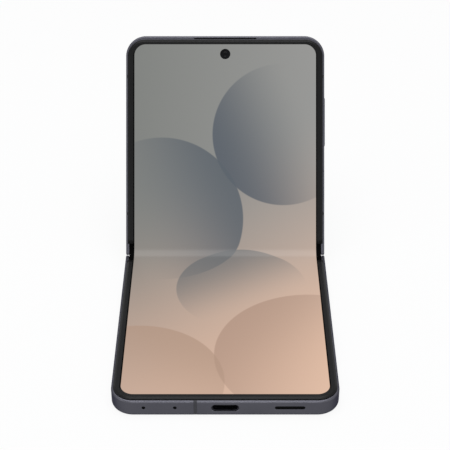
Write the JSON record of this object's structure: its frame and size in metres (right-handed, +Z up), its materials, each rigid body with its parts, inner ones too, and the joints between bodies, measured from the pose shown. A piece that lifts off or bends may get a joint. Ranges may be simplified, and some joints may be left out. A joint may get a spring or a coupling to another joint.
{
  "type": "foldable smartphone",
  "caption": "Folding phone with a flexible screen across a geared two-axis hinge, drawn part way open, with keys, card tray and connector port.",
  "frame": {"origin": "centre of the lower half's flat back, between the hinge's centre line and the lower end", "axes": "+X along the hinge, to the right as the screen is seen; +Y from the lower end towards the hinge; +Z up from the surface that the lower half lies on"},
  "size_m": [0.0755, 0.1338, 0.0749],
  "materials": {
    "aluminium_frame": "anodised grey, fine blasted satin",
    "bare_aluminium": "machined",
    "steel": "hardened, ground",
    "spring_steel": "thin rolled sheet",
    "spine_metal": "anodised grey, satin",
    "rim_plastic": "soft black elastomer",
    "black_plastic": "moulded, fine texture",
    "screen": "polished film over a flexible display",
    "back_glass": "matte etched",
    "cover_glass": "polished",
    "lens_glass": "polished, coated",
    "cell": "pouch foil",
    "copper": "wound copper",
    "board": "solder mask",
    "antenna_plastic": "moulded nylon",
    "shield": "tinned sheet",
    "led": "phosphor under a clear lens"
  },
  "bodies": {
    "lower_half": {"lower_frame": "aluminium_frame", "lower_midplate": "bare_aluminium", "lower_back_cover": "back_glass", "lower_bezel": "rim_plastic", "lower_display_panel": "screen", "lower_display_backplate": "bare_aluminium", "lower_battery": "cell", "charging_coil": "copper", "sub_board": "board", "usb_c_shell": "shield", "usb_c_tongue": "black_plastic", "speaker_module": "black_plastic", "speaker_mesh": "black_plastic", "haptic_motor": "shield", "bottom_microphones": "shield", "lower_antenna_lines": "antenna_plastic", "lower_screws": "steel", "lower_hinge_arms": "steel", "lower_hinge_shafts": "steel", "lower_sync_gears": "steel"},
    "lower_plate": {"lower_support_plate": "spring_steel"},
    "spine": {"spine_cover": "spine_metal", "spine_end_caps": "black_plastic", "hinge_brackets": "steel", "hinge_friction_clips": "spring_steel", "lower_display_fold": "screen", "upper_display_fold": "screen"},
    "lower_idlers": {"lower_idler_gears": "steel"},
    "upper_idlers": {"upper_idler_gears": "steel"},
    "upper_half": {"upper_sync_gears": "steel", "upper_hinge_shafts": "steel", "upper_hinge_arms": "steel", "upper_screws": "steel", "upper_frame": "aluminium_frame", "upper_midplate": "bare_aluminium", "cover_glass": "cover_glass", "cover_display_panel": "screen", "upper_bezel": "rim_plastic", "upper_display_panel": "screen", "upper_display_backplate": "bare_aluminium", "upper_battery": "cell", "main_board": "board", "shield_cans": "shield", "rear_cameras": "black_plastic", "camera_rings": "spine_metal", "camera_glasses": "lens_glass", "flash_led": "led", "front_camera": "black_plastic", "earpiece": "black_plastic", "earpiece_mesh": "black_plastic", "top_microphones": "shield", "card_socket": "shield", "key_switches": "shield", "upper_antenna_lines": "antenna_plastic"},
    "upper_plate": {"upper_support_plate": "spring_steel"},
    "card_tray": {"card_tray": "aluminium_frame"},
    "volume_key": {"volume_key": "aluminium_frame"},
    "side_key": {"side_key": "aluminium_frame"}
  },
  "joints": [
    {"name": "fold_lower", "type": "hinge", "parent": "lower_half", "child": "spine", "pos_m": [0, 0.03957, 0.00475], "axis": [1, 0, 0], "range_deg": [-28.15, 61.85], "deforming": ["lower_display_fold", "upper_display_fold"]},
    {"name": "fold_upper", "type": "hinge", "parent": "spine", "child": "upper_half", "pos_m": [0, 0.04328, 0.00673], "axis": [1, 0, 0], "range_deg": [-28.15, 61.85]},
    {"name": "lower_idler_turn", "type": "hinge", "parent": "spine", "child": "lower_idlers", "pos_m": [0, 0.04131, 0.00393], "axis": [1, 0, 0], "range_deg": [-28.15, 61.85]},
    {"name": "upper_idler_turn", "type": "hinge", "parent": "spine", "child": "upper_idlers", "pos_m": [0, 0.043, 0.00483], "axis": [1, 0, 0], "range_deg": [-61.85, 28.15]},
    {"name": "lower_plate_tilt", "type": "hinge", "parent": "lower_half", "child": "lower_plate", "pos_m": [0, 0.02967, 0.00575], "axis": [1, 0, 0], "range_deg": [-4.47, 2.04]},
    {"name": "upper_plate_tilt", "type": "hinge", "parent": "upper_half", "child": "upper_plate", "pos_m": [0, 0.04794, 0.01552], "axis": [1, 0, 0], "range_deg": [-2.04, 4.47]},
    {"name": "volume_key_press", "type": "slide", "parent": "upper_half", "child": "volume_key", "axis": [-1, 0, 0], "range_m": [0, 0.00025], "stiffness_N_per_m": 2000, "springref_m": -0.0005},
    {"name": "side_key_press", "type": "slide", "parent": "upper_half", "child": "side_key", "axis": [-1, 0, 0], "range_m": [0, 0.00025], "stiffness_N_per_m": 2000, "springref_m": -0.0005},
    {"name": "card_tray_slide", "type": "slide", "parent": "upper_half", "child": "card_tray", "axis": [-1, 0, 0], "range_m": [0, 0.02]}
  ],
  "couplings": [
    {"joint": "fold_upper", "follows": "fold_lower", "ratio": 1},
    {"joint": "lower_idler_turn", "follows": "fold_lower", "ratio": 1},
    {"joint": "upper_idler_turn", "follows": "fold_lower", "ratio": -1},
    {"joint": "lower_plate_tilt", "follows": "fold_lower", "ratio": -0.0722},
    {"joint": "upper_plate_tilt", "follows": "fold_lower", "ratio": 0.0722}
  ]
}
